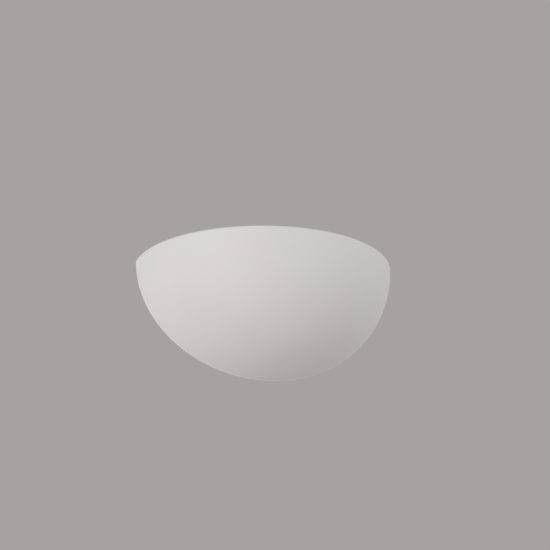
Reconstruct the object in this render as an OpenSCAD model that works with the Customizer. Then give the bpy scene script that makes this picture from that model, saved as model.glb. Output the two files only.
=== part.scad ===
// Uplighter wall sconce: a quarter bowl of plaster, open at the top, over a lamp that lies
// along the wall. A pressed steel plate on the wall carries the lampholder and the wiring, and
// the bowl hangs on two studs of that plate.
// Origin: on the wall, midway between the two fixing slots. +X runs to the right along the
// wall, -Y points into the room and +Z points up.

/* [Bowl] */
// Width of the bowl along the wall
bowl_w = 310; // [290:5:370]
// How far the bowl stands out from the wall
bowl_d = 137.5; // [125:2.5:170]
// Height of the bowl from its rim to its lowest point
bowl_h = 139; // [125:1:170]
// Thickness of the bowl's wall at its two sides
bowl_wall = 8; // [6:0.5:10]
// Height of the rim above the line of the fixing slots
rim_z = 45; // [40:1:54]

/* [Bowl lugs] */
// Distance between the two studs that hold the bowl
stud_spacing = 228; // [218:2:236]
// How far a lug reaches inwards from its stud
lug_reach = 12; // [10:0.5:14]
// Height of a lug
lug_h = 34; // [24:1:40]
// Thickness of a lug
lug_t = 12; // [8:1:16]
// Radius of the lug's free corners
lug_corner = 6; // [3:0.5:9]

/* [Bowl fixings] */
// Radius of a stud's shank
stud_r = 2; // [1.5:0.25:2.5]
// Radius of the flush head of a stud
stud_head_r = 3.6; // [3.2:0.2:5]
// Thickness of the flush head of a stud
stud_head_t = 0.9; // [0.6:0.1:1.1]
// Length of stud that stands out past its nut
stud_tail = 2.5; // [1:0.5:6]
// Radius of a washer
washer_r = 6; // [5:0.5:8]
// Thickness of a washer
washer_t = 1; // [0.6:0.1:2]
// Radius of a knurled nut
nut_r = 7; // [5.5:0.5:8]
// Height of the knurled part of a nut
nut_h = 5; // [4:0.5:8]
// Radius of the plain collar under the knurl
nut_collar_r = 5; // [4:0.5:5.5]
// Height of that collar
nut_collar_h = 1.5; // [1:0.5:3]
// Number of flutes round a nut
nut_flutes = 20; // [12:1:28]
// Radius of one flute
flute_r = 0.5; // [0.3:0.1:0.7]

/* [Wall plate] */
// Thickness of the pressed steel
plate_t = 1.5; // [1.2:0.1:2]
// Length of the plate's strap
strap_l = 252; // [248:2:260]
// Height of the plate's strap
strap_h = 36; // [30:1:40]
// Length of the dish pressed into the middle of the plate
dish_l = 164; // [162:1:168]
// Height of the dish
dish_h = 64; // [60:1:72]
// How far the dish stands out from the wall
dish_d = 8; // [6.5:0.5:10]
// Corner radius of the dish, seen from the front
dish_corner = 12; // [8:1:18]
// Radius of the dish's front edge
dish_edge = 3; // [2.2:0.2:4]
// How far the middle of the dish lies below the fixing slots
dish_drop = 6; // [4:1:9]
// Distance between the middles of the two fixing slots
slot_spacing = 188; // [184:1:190]
// Width of a fixing slot
slot_w = 4.5; // [4:0.1:5.5]
// Length of a fixing slot, end to end
slot_l = 10; // [7:0.5:11]

/* [Cable entry] */
// Place of the cable entry along the wall
entry_x = -20; // [-32:1:-8]
// Height of the cable entry
entry_z = 9; // [4:1:12]
// Radius of the grommet's bore
entry_bore_r = 3.75; // [2.5:0.25:4.5]
// Thickness of rubber between the bore and the plate
grommet_wall = 1.6; // [1.2:0.1:2.5]
// How far the grommet's two flanges reach past the hole
grommet_flange = 2.6; // [1.5:0.1:3.5]
// Thickness of each flange of the grommet
grommet_flange_t = 1.8; // [1:0.1:2.5]

/* [Holder arm] */
// Place of the arm's leg along the wall, at the foot of the lampholder
arm_x = -78; // [-79:0.5:-72]
// Thickness of the arm's steel
arm_t = 1.5; // [1.2:0.1:2]
// Inner radius of the arm's bend
arm_bend = 1.5; // [1:0.25:3]
// Width of the arm
arm_w = 34; // [30:1:38]
// Radius of the arm's round end
arm_end_r = 20; // [18:0.5:22]
// Length of the arm's foot on the dish
arm_foot = 28; // [24:1:32]
// Radius of a rivet's shank
rivet_r = 1.6; // [1.2:0.1:2]
// Radius of a rivet's head
rivet_head_r = 3.2; // [2.6:0.1:4]
// Height of a rivet's head
rivet_head_h = 1.4; // [1:0.1:2]
// Distance between the two rivets
rivet_spacing = 22; // [16:1:26]

/* [Lamp place] */
// Distance of the lamp's axis from the wall
lamp_y = 62; // [58:1:70]
// Height of the lamp's axis above the fixing slots
lamp_z = 3; // [0:0.5:6]

/* [Lampholder] */
// Length of the porcelain body
holder_l = 48; // [46:0.5:52]
// Radius of the porcelain foot
holder_foot_r = 23; // [22:0.5:25]
// Height of the porcelain foot
holder_foot_h = 17; // [15.5:0.5:19]
// Radius of the porcelain barrel
holder_r = 20; // [18.5:0.5:21.5]
// Radius and height of the rolled lip at the barrel's mouth
holder_lip = 1.5; // [1:0.25:2]
// Height of the floor of the barrel's well above the foot
well_floor = 21; // [20.5:0.5:23]
// Inner radius of the screw shell
shell_r = 13.3; // [13.2:0.1:13.8]
// Thickness of the screw shell
shell_t = 0.5; // [0.4:0.1:0.8]
// How far the screw shell stops short of the mouth
shell_short = 2; // [1:0.5:4]
// Radius of the hole in the floor of the screw shell
shell_hole_r = 8.6; // [8.4:0.1:9]
// Thickness of the centre contact's strip
contact_t = 0.5; // [0.4:0.1:0.7]
// Width of the centre contact's strip
contact_w = 5; // [4:0.5:6]
// Height of the centre contact above the floor of the well
contact_rise = 4.5; // [3.5:0.25:5.5]
// Radius of the screws that hold the lampholder to the arm
holder_screw_r = 1.75; // [1.5:0.25:2]
// Distance between those two screws
holder_screw_spacing = 32; // [30:1:34]
// Length of those screws in the porcelain
holder_screw_l = 9; // [6:0.5:11]
// Radius of the rivets in the floor of the well
contact_rivet_r = 0.9; // [0.7:0.1:1]

/* [Holder terminals] */
// Length of a brass terminal along the lamp's axis
terminal_l = 8; // [7:0.5:8.5]
// Width of a brass terminal across the holder
terminal_w = 12; // [10:0.5:13]
// Height of a brass terminal
terminal_h = 8; // [7:0.25:8.5]
// Distance of a terminal's middle from the lamp's axis
terminal_off = 8; // [7.8:0.1:8.5]
// Radius of a terminal's wire bore
terminal_bore_r = 1.3; // [1.1:0.1:1.6]
// Radius of a terminal's screw
terminal_screw_r = 1.5; // [1.2:0.1:1.75]
// Radius of that screw's head
terminal_head_r = 2.4; // [2:0.1:2.8]

/* [Terminal block] */
// Place of the block's middle along the wall
block_x = 30; // [26:1:34]
// Height of the block's middle
block_z = -3; // [-6:0.5:0]
// Distance between two cells of the block
cell_pitch = 12; // [12:0.25:13]
// Length of a cell, top to bottom
cell_l = 18; // [16:0.5:22]
// Outer radius of a cell
cell_r = 4.6; // [4:0.1:5]
// Radius of a brass insert
insert_r = 2.6; // [2.2:0.1:2.8]
// Radius of an insert's wire bore
insert_bore_r = 1.7; // [1.4:0.1:1.8]
// Height of a cell's axis above the dish
cell_axis = 6.5; // [5.5:0.25:8]
// Outer radius of a screw turret
turret_r = 3.3; // [3:0.1:3.8]
// Height of a screw turret's top above the dish
turret_top = 14; // [13:0.5:16]
// Distance between the two screws of one cell
turret_spacing = 9.6; // [8.5:0.2:11]
// Radius of the clamping screws
clamp_screw_r = 1.45; // [1.2:0.05:1.6]
// Radius of the clamping screws' heads
clamp_head_r = 1.9; // [1.7:0.1:2.2]
// Radius of the screw that holds the block
block_screw_r = 1.5; // [1.25:0.25:1.75]
// Radius of that screw's head
block_head_r = 2.7; // [2.3:0.1:2.9]

/* [Earth point] */
// Place of the earth screw along the wall
earth_x = 65; // [60:1:68]
// Height of the earth screw
earth_z = -17; // [-20:1:-12]
// Radius of the earth screw
earth_r = 2; // [1.5:0.25:2.25]
// Radius of the earth screw's head
earth_head_r = 4; // [3.5:0.25:4.5]
// Thickness of the ring tag
tag_t = 0.8; // [0.6:0.1:1.2]
// Radius of the ring tag
tag_r = 4.2; // [3.8:0.1:5]
// Length of the tag's crimped barrel
tag_barrel = 6; // [4:0.5:8]

/* [Wires] */
// Radius of a wire over its insulation
wire_r = 1.1; // [0.8:0.05:1.15]
// Radius of the bare conductor
core_r = 0.6; // [0.4:0.05:0.7]
// Length of bare conductor at each end of a wire
bare_l = 5; // [4:0.5:6]

/* [Lamp] */
// Overall length of the lamp
lamp_l = 105; // [104:1:110]
// Radius of the glass bulb
bulb_r = 30; // [27.5:0.5:31]
// Thickness of the glass
glass_t = 0.8; // [0.6:0.1:1.2]
// Radius of the glass neck above the cap
neck_r = 13.6; // [13.4:0.1:15]
// Radius of the hollow curve between the neck and the bulb
neck_curve = 40; // [36:1:44]
// Outer radius of the screw cap
cap_r = 13; // [12.6:0.1:13.1]
// Thickness of the cap's sheet
cap_t = 0.4; // [0.3:0.1:0.6]
// Height of the cap's rim above the lamp's tip
cap_top = 26.5; // [25:0.5:28]
// Radius of the tip contact
tip_r = 4.8; // [4:0.1:5.2]
// Number of filaments
filaments = 4; // [3:1:6]
// Length of a filament
filament_l = 38; // [32:1:42]
// Radius of a filament
filament_r = 0.9; // [0.6:0.1:1.2]
// Distance of the filaments' upper ends from the lamp's axis
filament_spread = 9; // [7:0.5:12]

/* [Clearances] */
// Gap between loosely seated pieces
seat_gap = 0.3; // [0.2:0.05:0.4]
// Gap between a screw or rivet and its hole
hole_gap = 0.1; // [0.05:0.05:0.2]

/* [Hidden] */
$fn = 64;

// Colours
plaster = [0.86, 0.84, 0.83];
white_steel = [0.90, 0.90, 0.88];
zinc = [0.72, 0.73, 0.75];
brass = [0.80, 0.66, 0.36];
nickel = [0.76, 0.74, 0.70];
porcelain = [0.94, 0.93, 0.90];
clear_nylon = [0.90, 0.89, 0.82];
rubber = [0.12, 0.12, 0.12];
bronze = [0.74, 0.50, 0.28];
glass = [0.85, 0.92, 0.95, 0.35];
dark_glass = [0.08, 0.08, 0.09];
phosphor = [0.97, 0.80, 0.32];
steel_wire = [0.62, 0.62, 0.62];
brown = [0.40, 0.24, 0.14];
blue = [0.16, 0.36, 0.68];
green = [0.30, 0.62, 0.22];

over = 1; // how far a cutting solid runs past the face that it cuts

// Bowl: a quarter of a ball, flattened in depth and height, with a half-round bead as its rim
half_w = bowl_w / 2;
body_h = bowl_h / (1 + bowl_wall / bowl_w);
depth_k = bowl_d / half_w;
height_k = body_h / half_w;
centre_z = rim_z - bowl_h + body_h;

// Lugs, studs and nuts, as distances from the wall
stud_x = stud_spacing / 2;
lug_back = plate_t + seat_gap;
lug_front = lug_back + lug_t;
nut_seat = lug_front + washer_t;
nut_front = nut_seat + nut_collar_h + nut_h;
stud_end = nut_front + stud_tail;
stud_hole_r = stud_r + 2 * seat_gap;

// Dish of the wall plate
dish_z = -dish_drop;
entry_hole_r = entry_bore_r + grommet_wall;

// Arm
bend_x = arm_x + arm_bend;
bend_y = dish_d + arm_t + arm_bend;
arm_rivet_x = arm_x + arm_foot - 2 * rivet_head_r;

// Lampholder, measured along the lamp's axis from the foot of the porcelain
well_r = shell_r + shell_t + hole_gap;
shell_top = holder_l - shell_short;
lamp_tip = well_floor + contact_rise + contact_t / 2 + seat_gap;
terminal_cover = 4;
terminal_s = well_floor - terminal_cover - terminal_l / 2;
pocket_gap = seat_gap;
terminal_inner = terminal_w / 4;
contact_foot_in = 3;
contact_foot_out = 7.6;
contact_rivet_v = (contact_foot_in + contact_foot_out) / 2;
shell_rivet_v = (shell_hole_r + shell_r) / 2;
contact_head_h = 0.6;

// Terminal block
cells = [-1, 0, 1];
block_w = 3 * cell_pitch;
base_h = 5;
block_screw_x = block_x - cell_pitch / 2;
clamp_tip = cell_axis + core_r + seat_gap;
clamp_head_h = 2;
clamp_head_depth = 4;
clamp_head_seat = turret_top - clamp_head_depth;

// Earth point
earth_washer_t = 0.7;
earth_head_h = 2.6;
barrel_r = wire_r + seat_gap + 0.6;
tag_waist = 2;
barrel_x = earth_x - tag_r - tag_waist;
tag_lead = 4;

// Lamp, measured along its axis from its tip
bulb_s = lamp_l - bulb_r;
curve_r = neck_r + neck_curve;
curve_s = bulb_s - sqrt(pow(bulb_r + neck_curve, 2) - pow(curve_r, 2));
meet = neck_curve / (neck_curve + bulb_r);
meet_s = curve_s + (bulb_s - curve_s) * meet;
meet_r = curve_r * (1 - meet);
cap_neck = 21;
neck_in_cap = cap_r - cap_t - seat_gap;
insulator_s = 1.2;
insulator_top = 4.2;
insulator_r = 10.6;
cap_shoulder = 6.5;
stem_r = 3.4;
stem_base = 27;
stem_top = 62;
filament_low = 48;
filament_low_r = 5.6;
filament_tilt = asin((filament_spread - filament_low_r) / filament_l);
support_r = 0.35;

// ---------------------------------------------------------------- shared forms

// Everything inside is turned to stand out from the wall: its Z becomes the distance from the
// wall and its Y becomes height
module out_of_wall() { rotate([90, 0, 0]) children(); }

// Everything inside is turned to lie along the lamp: its Z runs from the foot of the holder
// towards the tip of the bulb, its X away from the room and its Y up
module along_lamp(s = 0) {
  translate([arm_x + s, -lamp_y, lamp_z]) rotate([90, 0, 90]) children();
}

// A strip with round ends, centred
module stadium(l, h) {
  square([l - h, h], center = true);
  for (side = [-1, 1]) translate([side * (l - h) / 2, 0]) circle(d = h);
}

// Half the section of a tray, with its free edge rounded
module soft_step(w, d, edge) {
  square([w, d - edge]);
  square([w - edge, d]);
  translate([w - edge, d - edge]) circle(r = edge);
}

module soft_section(w, d, edge) {
  soft_step(w, d, edge);
  mirror([1, 0]) soft_step(w, d, edge);
}

// A block with round corners and a rounded front edge, as a press tool makes it
module soft_tray(l, h, d, corner, edge) {
  for (x = [-1, 1], y = [-1, 1])
    translate([x * (l / 2 - corner), y * (h / 2 - corner), 0])
      rotate_extrude() intersection() {
        soft_step(corner, d, edge);
        square([corner, d]);
      }
  translate([corner - l / 2, 0, 0]) rotate([90, 0, 90])
    linear_extrude(height = l - 2 * corner) soft_section(h / 2, d, edge);
  translate([0, h / 2 - corner, 0]) rotate([90, 0, 0])
    linear_extrude(height = h - 2 * corner) soft_section(l / 2, d, edge);
}

// A flat band along a bent line, with round joints
module band(points, t) {
  for (i = [0 : len(points) - 2]) {
    run = points[i + 1] - points[i];
    translate(points[i]) rotate(atan2(run[1], run[0])) translate([0, -t / 2]) square([norm(run), t]);
  }
  for (i = [1 : len(points) - 2]) translate(points[i]) circle(d = t);
}

// A domed head that stands on Z = 0
module dome(r, h) {
  ball = (r * r + h * h) / (2 * h);
  rotate_extrude() intersection() {
    translate([0, h - ball]) circle(r = ball, $fn = 240);
    square([r, h]);
  }
}

// A straight round rod between two points
module rod(from, to, r) {
  run = to - from;
  flat = norm([run[0], run[1]]);
  translate(from) rotate([0, atan2(flat, run[2]), atan2(run[1], run[0])])
    cylinder(r = r, h = norm(run));
}

// A cheese-headed screw whose head stands on Z = 0 and whose shank runs down from there,
// with a straight slot across the head
module slotted_screw(r, l, head_r, head_h) {
  difference() {
    union() {
      translate([0, 0, -l]) cylinder(r = r, h = l);
      cylinder(r = head_r, h = head_h);
    }
    translate([-head_r - over, -head_r / 6, head_h * 0.55]) cube([2 * (head_r + over), head_r / 3, head_h]);
  }
}

// ---------------------------------------------------------------- bowl and its fixings

// The ball from which the bowl is cut, flattened to the bowl's proportions
module flattened() {
  translate([0, 0, centre_z]) scale([1, depth_k, height_k]) children();
}

module bowl_shell() {
  reach = half_w + over;
  flattened() union() {
    difference() {
      sphere(r = half_w, $fn = 120);
      sphere(r = half_w - bowl_wall, $fn = 120);
      translate([-reach, -reach, 0]) cube([2 * reach, 2 * reach, reach]);
      translate([-reach, 0, -reach]) cube([2 * reach, reach, reach + over]);
    }
    rotate([0, 0, 180]) rotate_extrude(angle = 180, $fn = 120)
      translate([half_w - bowl_wall / 2, 0]) intersection() {
        circle(d = bowl_wall);
        translate([-bowl_wall, 0]) square([2 * bowl_wall, bowl_wall]);
      }
  }
}

// The lug outline, seen from the room
module lug_outline() {
  translate([stud_x - lug_reach + lug_corner, -lug_h / 2]) square([half_w, lug_h]);
  translate([stud_x - lug_reach, lug_corner - lug_h / 2]) square([half_w, lug_h - 2 * lug_corner]);
  for (side = [-1, 1])
    translate([stud_x - lug_reach + lug_corner, side * (lug_h / 2 - lug_corner)]) circle(r = lug_corner);
}

module lug() {
  intersection() {
    translate([0, -lug_back, 0]) out_of_wall() linear_extrude(height = lug_t) lug_outline();
    flattened() sphere(r = half_w - bowl_wall / 2, $fn = 120);
  }
}

module plaster_bowl() color(plaster) difference() {
  union() {
    bowl_shell();
    lug();
    mirror([1, 0, 0]) lug();
  }
  for (side = [-1, 1]) translate([side * stud_x, 0, 0]) out_of_wall()
    cylinder(r = stud_hole_r, h = lug_front + over);
}

// Flush-headed studs, pressed into the plate from behind
module bowl_studs() color(zinc)
  for (side = [-1, 1]) translate([side * stud_x, 0, 0]) out_of_wall() {
    cylinder(r = stud_head_r, h = stud_head_t);
    cylinder(r = stud_r, h = stud_end - stud_r / 3);
    translate([0, 0, stud_end - stud_r / 3]) cylinder(r1 = stud_r, r2 = stud_r * 2 / 3, h = stud_r / 3);
  }

module stud_washers() color(zinc)
  for (side = [-1, 1]) translate([side * stud_x, -lug_front, 0]) out_of_wall() difference() {
    cylinder(r = washer_r, h = washer_t);
    translate([0, 0, -over]) cylinder(r = stud_r + seat_gap, h = washer_t + 2 * over);
  }

module knurled_nut() {
  edge = nut_h / 8;
  difference() {
    union() {
      cylinder(r = nut_collar_r, h = nut_collar_h);
      translate([0, 0, nut_collar_h]) {
        cylinder(r1 = nut_r - edge, r2 = nut_r, h = edge);
        translate([0, 0, edge]) cylinder(r = nut_r, h = nut_h - 2 * edge);
        translate([0, 0, nut_h - edge]) cylinder(r1 = nut_r, r2 = nut_r - edge, h = edge);
      }
    }
    translate([0, 0, -over]) cylinder(r = stud_r + hole_gap, h = nut_h + nut_collar_h + 2 * over);
    for (i = [0 : nut_flutes - 1]) rotate(i * 360 / nut_flutes)
      translate([nut_r, 0, nut_collar_h - over]) cylinder(r = flute_r, h = nut_h + 2 * over, $fn = 16);
  }
}

module knurled_nuts() color(brass)
  for (side = [-1, 1]) translate([side * stud_x, -nut_seat, 0]) out_of_wall() knurled_nut();

// ---------------------------------------------------------------- wall plate

module wall_plate() color(white_steel) difference() {
  union() {
    out_of_wall() linear_extrude(height = plate_t) stadium(strap_l, strap_h);
    translate([0, 0, dish_z]) out_of_wall() soft_tray(dish_l, dish_h, dish_d, dish_corner, dish_edge);
  }
  // hollow behind the dish
  translate([0, over, dish_z]) out_of_wall()
    soft_tray(dish_l - 2 * plate_t, dish_h - 2 * plate_t, dish_d - plate_t + over,
      dish_corner - plate_t, dish_edge - plate_t);
  // fixing slots
  for (side = [-1, 1]) translate([side * slot_spacing / 2, over, 0])
    out_of_wall() linear_extrude(height = plate_t + 2 * over) stadium(slot_l, slot_w);
  // seats of the studs
  for (side = [-1, 1]) translate([side * stud_x, over, 0]) out_of_wall() {
    cylinder(r = stud_r + hole_gap, h = plate_t + 2 * over);
    cylinder(r = stud_head_r + hole_gap, h = stud_head_t + over);
  }
  // holes in the face of the dish
  dish_hole(entry_x, entry_z, entry_hole_r);
  for (z = rivet_heights()) dish_hole(arm_rivet_x, z, rivet_r + hole_gap);
  dish_hole(block_screw_x, block_z, block_screw_r + hole_gap);
  dish_hole(earth_x, earth_z, earth_r + hole_gap);
}

function rivet_heights() = [lamp_z - rivet_spacing / 2, lamp_z + rivet_spacing / 2];

module dish_hole(x, z, r) {
  translate([x, -dish_d / 2, z]) out_of_wall() cylinder(r = r, h = dish_d);
}

// Soft rubber ring that grips the edge of the cable hole
module cable_grommet() color(rubber)
  translate([entry_x, -dish_d, entry_z]) out_of_wall() difference() {
    flange_r = entry_hole_r + grommet_flange;
    union() {
      translate([0, 0, -plate_t]) cylinder(r = entry_hole_r - hole_gap, h = plate_t);
      cylinder(r1 = flange_r, r2 = flange_r - grommet_flange_t / 2, h = grommet_flange_t);
      translate([0, 0, -plate_t - grommet_flange_t])
        cylinder(r1 = flange_r - grommet_flange_t / 2, r2 = flange_r, h = grommet_flange_t);
    }
    translate([0, 0, -plate_t - grommet_flange_t - over])
      cylinder(r = entry_bore_r, h = plate_t + 2 * grommet_flange_t + 2 * over);
  }

// ---------------------------------------------------------------- holder arm

// Steel strip bent to an L: its foot lies on the dish and its leg carries the lampholder
module holder_arm() color(zinc) difference() {
  union() {
    translate([arm_x - arm_t, 0, 0]) rotate([90, 0, 90]) linear_extrude(height = arm_t) {
      translate([-lamp_y, lamp_z - arm_w / 2]) square([lamp_y - bend_y, arm_w]);
      translate([-lamp_y, lamp_z]) circle(r = arm_end_r);
    }
    translate([bend_x, -bend_y, lamp_z - arm_w / 2]) rotate_extrude(angle = 90, start = 90)
      translate([arm_bend, 0]) square([arm_t, arm_w]);
    translate([bend_x, -dish_d, lamp_z]) out_of_wall() linear_extrude(height = arm_t) foot_outline();
  }
  for (z = rivet_heights()) translate([arm_rivet_x, over - dish_d, z]) out_of_wall()
    cylinder(r = rivet_r + hole_gap, h = arm_t + 2 * over);
  along_lamp(-arm_t - over) holder_screw_places()
    cylinder(r = holder_screw_r + hole_gap, h = arm_t + 2 * over);
}

// The foot seen from the room, from the bend to its round-cornered end
module foot_outline() {
  corner = rivet_head_r;
  l = arm_foot - arm_bend;
  translate([0, -arm_w / 2]) square([l - corner, arm_w]);
  translate([0, corner - arm_w / 2]) square([l, arm_w - 2 * corner]);
  for (side = [-1, 1]) translate([l - corner, side * (arm_w / 2 - corner)]) circle(r = corner);
}

module holder_screw_places() {
  for (side = [-1, 1]) translate([side * holder_screw_spacing / 2, 0, 0]) children();
}

module arm_rivets() color(zinc)
  for (z = rivet_heights()) translate([arm_rivet_x, -dish_d, z]) out_of_wall() {
    translate([0, 0, -plate_t]) cylinder(r = rivet_r, h = plate_t + arm_t);
    translate([0, 0, arm_t]) dome(rivet_head_r, rivet_head_h);
    translate([0, 0, -plate_t]) mirror([0, 0, 1]) dome(rivet_head_r * 0.8, rivet_head_h * 0.6);
  }

// Cheese-headed screws through the arm into the porcelain
module holder_screws() color(zinc)
  along_lamp(-arm_t) holder_screw_places() mirror([0, 0, 1])
    slotted_screw(holder_screw_r, arm_t + holder_screw_l, holder_screw_r * 1.9, holder_screw_r * 1.2);

// ---------------------------------------------------------------- lampholder

// The section of the porcelain: a foot, a barrel with a rolled lip, and a well
module porcelain_section() {
  soft = holder_lip / 2;
  difference() {
    union() {
      square([holder_foot_r, holder_foot_h - soft]);
      square([holder_foot_r - soft, holder_foot_h]);
      translate([holder_foot_r - soft, holder_foot_h - soft]) circle(r = soft);
      square([holder_r, holder_l - holder_lip]);
      square([holder_r - holder_lip / 2, holder_l]);
      translate([holder_r - holder_lip / 2, holder_l - holder_lip]) circle(r = holder_lip);
    }
    translate([0, well_floor]) square([well_r, holder_l]);
    translate([-over - holder_r, -over]) square([over + holder_r, holder_l + 2 * over]);
  }
}

module lampholder_body() color(porcelain) difference() {
  along_lamp() rotate_extrude() porcelain_section();
  // blind holes for the screws that come through the arm
  along_lamp(-over) holder_screw_places()
    cylinder(r = holder_screw_r + hole_gap, h = holder_screw_l + over + seat_gap);
  for (side = [-1, 1]) {
    // pocket of a terminal, open towards the wall
    along_lamp(terminal_s) translate([-terminal_inner - pocket_gap,
      side * terminal_off - terminal_h / 2 - pocket_gap, -terminal_l / 2 - pocket_gap])
      cube([holder_foot_r + terminal_w, terminal_h + 2 * pocket_gap, terminal_l + 2 * pocket_gap]);
    // way in for the terminal's screwdriver
    along_lamp(terminal_s) rotate([-90 * side, 0, 0]) translate([terminal_screw_u(), 0, terminal_off])
      cylinder(r = terminal_head_r + seat_gap, h = holder_foot_r);
  }
  // holes for the two rivets in the floor of the well
  along_lamp(terminal_s) contact_rivet_places()
    cylinder(r = contact_rivet_r + hole_gap, h = well_floor - terminal_s + over);
}

function terminal_screw_u() = terminal_w / 4;

// Sheet sleeve with a turned-in floor; the lamp's cap screws into it
module lampholder_shell() color(nickel) along_lamp(well_floor) difference() {
  union() {
    difference() {
      cylinder(r = shell_r + shell_t, h = shell_top - well_floor);
      translate([0, 0, -over]) cylinder(r = shell_r, h = holder_l);
    }
    cylinder(r = shell_r + shell_t / 2, h = shell_t);
  }
  translate([0, 0, -over]) cylinder(r = shell_hole_r, h = 2 * over + shell_t);
  translate([0, -shell_rivet_v, -over]) cylinder(r = contact_rivet_r + hole_gap, h = 2 * over + shell_t);
}

// Sprung bronze tongue on which the tip of the lamp rests
module centre_contact() color(bronze) along_lamp(well_floor) difference() {
  translate([-contact_w / 2, 0, 0]) rotate([90, 0, 90]) linear_extrude(height = contact_w)
    band([
      [contact_foot_out, contact_t / 2],
      [contact_foot_in, contact_t / 2],
      [-contact_foot_in / 2, contact_rise],
      [-contact_foot_in * 1.3, contact_rise],
      [-contact_foot_in * 1.9, contact_rise - 2 * contact_t]
    ], contact_t);
  translate([0, contact_rivet_v, -over]) cylinder(r = contact_rivet_r + hole_gap, h = 2 * over + contact_t);
}

// The contact's rivet above the axis and the shell's rivet below it, each ending in a terminal
module contact_rivet_places() {
  translate([0, contact_rivet_v, 0]) children();
  translate([0, -shell_rivet_v, 0]) children();
}

module contact_rivets() color(brass)
  along_lamp(terminal_s) contact_rivet_places() {
    top = well_floor + contact_t - terminal_s;
    cylinder(r = contact_rivet_r, h = top);
    translate([0, 0, top]) dome(contact_rivet_r * 1.8, contact_head_h);
  }

// Brass blocks in the porcelain foot, each with a bore for its wire and a screw across it
module holder_terminals() color(brass)
  for (side = [-1, 1]) difference() {
    along_lamp(terminal_s) translate([-terminal_inner, side * terminal_off - terminal_h / 2, -terminal_l / 2])
      cube([terminal_w, terminal_h, terminal_l]);
    along_lamp(terminal_s) translate([terminal_w - terminal_inner + over, side * terminal_off, 0])
      rotate([0, -90, 0]) cylinder(r = terminal_bore_r, h = terminal_w * 0.75 + over);
    along_lamp(terminal_s) rotate([-90 * side, 0, 0]) translate([terminal_screw_u(), 0, terminal_off])
      cylinder(r = terminal_screw_r + hole_gap, h = terminal_h);
    along_lamp(terminal_s) contact_rivet_places()
      translate([0, 0, -over]) cylinder(r = contact_rivet_r + hole_gap, h = terminal_l);
  }

module holder_terminal_screws() color(nickel)
  for (side = [-1, 1]) along_lamp(terminal_s) rotate([-90 * side, 0, 0])
    translate([terminal_screw_u(), 0, terminal_off + terminal_h / 2 + seat_gap])
      slotted_screw(terminal_screw_r, terminal_h / 2 + seat_gap - core_r - hole_gap,
        terminal_head_r, terminal_head_r * 0.8);

// ---------------------------------------------------------------- terminal block

// Places inside the block: X along the row of cells, Y up, Z away from the dish
module on_block() {
  translate([block_x, -dish_d, block_z]) out_of_wall() children();
}

module clamp_places() {
  for (cell = cells, end = [-1, 1])
    translate([cell * cell_pitch, end * turret_spacing / 2, 0]) children();
}

module terminal_block() color(clear_nylon) on_block() difference() {
  union() {
    translate([-block_w / 2, -cell_l / 2, 0]) cube([block_w, cell_l, base_h]);
    for (cell = cells) translate([cell * cell_pitch, cell_l / 2, cell_axis])
      rotate([90, 0, 0]) cylinder(r = cell_r, h = cell_l);
    clamp_places() translate([0, 0, cell_axis]) cylinder(r = turret_r, h = turret_top - cell_axis);
  }
  for (cell = cells) translate([cell * cell_pitch, cell_l / 2 + over, cell_axis])
    rotate([90, 0, 0]) cylinder(r = insert_r + hole_gap, h = cell_l + 2 * over);
  clamp_places() translate([0, 0, cell_axis]) cylinder(r = clamp_head_r + seat_gap, h = turret_top);
  translate([-cell_pitch / 2, 0, -over]) cylinder(r = block_screw_r + hole_gap, h = turret_top);
  translate([-cell_pitch / 2, 0, base_h]) cylinder(r = block_head_r + seat_gap, h = turret_top);
  // the second fixing hole, left empty
  translate([cell_pitch / 2, 0, -over]) cylinder(r = block_screw_r + hole_gap, h = turret_top);
  translate([cell_pitch / 2, 0, base_h]) cylinder(r = block_head_r + seat_gap, h = turret_top);
}

module terminal_inserts() color(brass) on_block() for (cell = cells)
  translate([cell * cell_pitch, 0, cell_axis]) difference() {
    insert_l = cell_l - 2;
    translate([0, insert_l / 2, 0]) rotate([90, 0, 0]) cylinder(r = insert_r, h = insert_l);
    translate([0, insert_l / 2 + over, 0]) rotate([90, 0, 0])
      cylinder(r = insert_bore_r, h = insert_l + 2 * over);
    for (end = [-1, 1]) translate([0, end * turret_spacing / 2, 0])
      cylinder(r = clamp_screw_r + hole_gap, h = insert_r + over);
  }

module terminal_screws() color(zinc) on_block() clamp_places()
  translate([0, 0, clamp_head_seat])
    slotted_screw(clamp_screw_r, clamp_head_seat - clamp_tip, clamp_head_r, clamp_head_h);

module block_screw() color(zinc) on_block() translate([-cell_pitch / 2, 0, base_h])
  slotted_screw(block_screw_r, base_h + plate_t + 2, block_head_r, clamp_head_h);

// ---------------------------------------------------------------- earth point

module on_earth(lift = 0) {
  translate([earth_x, -dish_d - lift, earth_z]) out_of_wall() children();
}

// Ring tag crimped on the earth wire
module earth_tag() color(brass) on_earth() difference() {
  union() {
    cylinder(r = tag_r, h = tag_t);
    translate([-tag_r - tag_waist - over, -barrel_r * 0.8, 0])
      cube([tag_r + tag_waist + over, barrel_r * 1.6, tag_t]);
    translate([barrel_x - earth_x, 0, barrel_r]) rotate([0, -90, 0]) cylinder(r = barrel_r, h = tag_barrel);
  }
  translate([0, 0, -over]) cylinder(r = earth_r + hole_gap, h = tag_t + 2 * over);
  translate([barrel_x - earth_x + over, 0, barrel_r]) rotate([0, -90, 0])
    cylinder(r = wire_r + hole_gap, h = tag_barrel + 2 * over);
}

module earth_washer() color(zinc) on_earth(tag_t) difference() {
  cylinder(r = earth_head_r, h = earth_washer_t);
  translate([0, 0, -over]) cylinder(r = earth_r + hole_gap, h = earth_washer_t + 2 * over);
  // teeth cut into the washer's edge
  for (i = [0 : 11]) rotate(i * 30) translate([earth_head_r, 0, -over])
    cylinder(r = 0.45, h = earth_washer_t + 2 * over, $fn = 16);
}

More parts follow.
